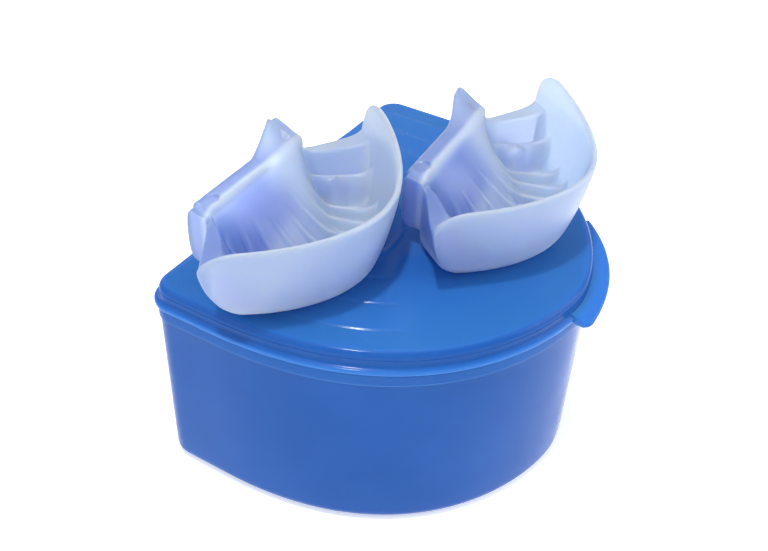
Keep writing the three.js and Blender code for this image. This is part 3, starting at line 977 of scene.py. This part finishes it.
def guard_painted_light_and_shade(size, guard):
    """Painted light and shade on the frosted plastic: painted light at the foot, along the wall's
    rim, on the crest's edge and over the right half, painted shade on the crest band and on the
    left of the web.
    """
    x, y, z = coordinates(guard).T
    front = size.crest_setback - size.crest_band
    foot = ease(z, 0.0050, 0.0010)
    wall_rim = ease(z, size.height - 0.0016, size.height) * (y < front)
    crest_edge = np.exp(-(((y - front) / 0.0008) ** 2)) * ease(z, 0.0142, 0.016)
    right_half = ease(x, 0.002, 0.009)
    crest_band = ease(y, front + 0.0006, front + 0.0016)
    web = ease(y, 0.0, 0.003) * ease(y, front + 0.0003, front - 0.0012) * ease(z, 0.0035, 0.006)
    left_web = web * ease(x, 0.006, -0.003)
    # painted light and highlights added, then painted shade taken away on the crest band and the
    # web's left face
    light = 0.62 + 0.30 * foot + 0.30 * wall_rim + 0.50 * crest_edge + 0.26 * right_half
    light -= 0.45 * crest_band + 0.62 * left_web
    return np.clip(light, 0, 1)


def build_guard(size, name, x, y, turn):
    """One mouthguard: a strip with two sides drawn along the arch, closed at both ends."""
    sections = [guard_section(size, u, "left" in name) for u in guard_stations(size)]
    loops = [[*teeth, *reversed(outer)] for teeth, outer in sections]
    count, pairs = len(loops[0]), len(sections[0][0])
    faces = ring_faces(len(loops), count)
    last = (len(loops) - 1) * count
    for start in (0, last):
        end = start + count
        faces += [(start + i, start + i + 1, end - 2 - i, end - 1 - i) for i in range(pairs - 1)]
    guard = mesh_from(name, [p for loop in loops for p in loop], faces)
    only(guard)
    rounding = guard.modifiers.new("rounding", "SUBSURF")
    rounding.levels = rounding.render_levels = 2
    bpy.ops.object.modifier_apply(modifier=rounding.name)
    press_details(size, guard)
    # painted light and shade, stored per vertex for the material
    mark_painted_light(guard, guard_painted_light_and_shade(size, guard))
    guard.data.transform(
        Matrix.Translation((x, y, LID_TOP)) @ Matrix.Rotation(turn, 4, "Z")
    )
    return guard


class CASE_OT_guards(bpy.types.Operator):
    """Builds the two mouthguards"""

    bl_idname = "mouthguard_case.guards"
    bl_label = "Mouthguards"

    def execute(self, context):
        size = context.scene.guard_sizes
        for side, x, y, turn in (
            ("left", size.left_x, size.left_y, size.left_turn),
            ("right", size.right_x, size.right_y, size.right_turn),
        ):
            guard = build_guard(size, "frosted_guard_" + side, x, y, turn)
            finish_piece(
                guard, guard_plastic(), "guard_" + side, "mouthguard_" + side, 75
            )
        return {"FINISHED"}


# ---------------------------------------------------------------- stage


LIGHTS = (  # name, place, target, width, watts
    ("key_light", (0.36, -0.62, 0.42), (0, 0, 0.05), 0.6, 3.1),
    ("top_light", (0.05, 0.1, 0.8), (0, 0, 0.04), 0.5, 0.9),
    ("fill_light", (-0.6, 0.35, 0.55), (0, 0, 0.04), 0.6, 1.5),
    ("glint_light", (-0.16, 0.0, 0.62), (0, 0, 0.045), 0.035, 1.5),
)


class CASE_OT_stage(bpy.types.Operator):
    """Builds the pale floor, the soft lights and the camera"""

    bl_idname = "mouthguard_case.stage"
    bl_label = "Stage"

    def execute(self, context):
        size = context.scene.stage_sizes
        look = context.scene.case_finishes
        half = size.floor_size / 2
        corners = [(-half, -half, 0), (half, -half, 0), (half, half, 0), (-half, half, 0)]
        floor = mesh_from("floor", corners, [(0, 1, 2, 3)])
        floor.data.materials.append(self.floor_material(look.floor_colour))
        self.sky(context)
        for light in LIGHTS:
            self.area_light(*light)
        context.scene.view_settings.view_transform = "Standard"
        self.camera(context, size)
        return {"FINISHED"}

    def floor_material(self, tint):
        """Pale paper with a faint unevenness."""
        material = bpy.data.materials.new("Pale paper")
        material.use_nodes = True
        tree = material.node_tree
        shader = tree.nodes["Principled BSDF"]
        place = node(tree, "ShaderNodeTexCoord", (-900, 0))
        noise = node(tree, "ShaderNodeTexNoise", (-700, 0), in_2=3.0, in_3=3.0)
        mix = node(tree, "ShaderNodeMix", (-400, 0), data_type="RGBA")
        mix.inputs["A"].default_value = (*[0.985 * c for c in tint], 1)
        mix.inputs["B"].default_value = (*tint, 1)
        tree.links.new(place.outputs["Object"], noise.inputs["Vector"])
        tree.links.new(noise.outputs["Fac"], mix.inputs["Factor"])
        tree.links.new(mix.outputs["Result"], shader.inputs["Base Color"])
        tree.links.new(mix.outputs["Result"], shader.inputs["Emission Color"])
        shader.inputs["Emission Strength"].default_value = 0.45
        shader.inputs["Roughness"].default_value = 0.85
        shader.inputs["Specular IOR Level"].default_value = 0.2
        return material

    def sky(self, context):
        """An even white surround."""
        world = context.scene.world or bpy.data.worlds.new("Surround")
        context.scene.world = world
        world.use_nodes = True
        background = world.node_tree.nodes["Background"]
        background.inputs["Color"].default_value = (0.97, 0.98, 1.0, 1)
        background.inputs["Strength"].default_value = 0.62

    def area_light(self, name, place, target, width, power):
        """A soft square light aimed at a point."""
        data = bpy.data.lights.new(name, "AREA")
        data.shape, data.size, data.energy = "SQUARE", width, power
        light = placed(name, data)
        light.location = place
        aim = Vector(target) - Vector(place)
        light.rotation_euler = aim.to_track_quat("-Z", "Y").to_euler()

    def camera(self, context, size):
        """The camera, turned about its target and rolled."""
        a, e, r = size.azimuth, size.elevation, size.roll
        back = Vector((math.sin(a) * math.cos(e), -math.cos(a) * math.cos(e), math.sin(e)))
        right = Vector((math.cos(a), math.sin(a), 0))
        up = back.cross(right)
        turned = math.cos(r) * right + math.sin(r) * up
        raised = math.cos(r) * up - math.sin(r) * right
        data = bpy.data.cameras.new("camera")
        data.lens, data.sensor_width, data.clip_start = size.lens, 36, 0.01
        camera = placed("camera", data)
        target = Vector((size.target_x, size.target_y, size.target_z))
        pose = Matrix((turned, raised, back)).transposed().to_4x4()
        camera.matrix_world = Matrix.Translation(target + size.distance * back) @ pose
        context.scene.camera = camera


# ---------------------------------------------------------------- add-on


class CASE_PT_panel(bpy.types.Panel):
    """Lists the sizes, the colours and the pieces"""

    bl_label = "Mouthguards with case"
    bl_idname = "CASE_PT_panel"
    bl_space_type = "VIEW_3D"
    bl_region_type = "UI"
    bl_category = "Mouthguards"

    def draw(self, context):
        layout = self.layout
        for operator in OPERATORS:
            layout.operator(operator.bl_idname)
        for group in GROUPS:
            box = layout.box()
            settings = getattr(context.scene, group)
            for name in settings.__annotations__:
                box.prop(settings, name)


OPERATORS = (CASE_OT_base, CASE_OT_lid, CASE_OT_pin, CASE_OT_guards, CASE_OT_stage)
GROUPS = {
    "case_sizes": CaseSizes,
    "guard_sizes": GuardSizes,
    "case_finishes": Finishes,
    "stage_sizes": StageSizes,
}
CLASSES = (*GROUPS.values(), *OPERATORS, CASE_PT_panel)


def register():
    for cls in CLASSES:
        bpy.utils.register_class(cls)
    for name, group in GROUPS.items():
        setattr(bpy.types.Scene, name, PointerProperty(type=group))


def unregister():
    for name in GROUPS:
        delattr(bpy.types.Scene, name)
    for cls in reversed(CLASSES):
        bpy.utils.unregister_class(cls)


def main():
    """Registers the add-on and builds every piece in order."""
    register()
    bpy.ops.mouthguard_case.stage()
    bpy.ops.mouthguard_case.base()
    bpy.ops.mouthguard_case.lid()
    bpy.ops.mouthguard_case.pin()
    bpy.ops.mouthguard_case.guards()


if __name__ == "__main__":
    main()
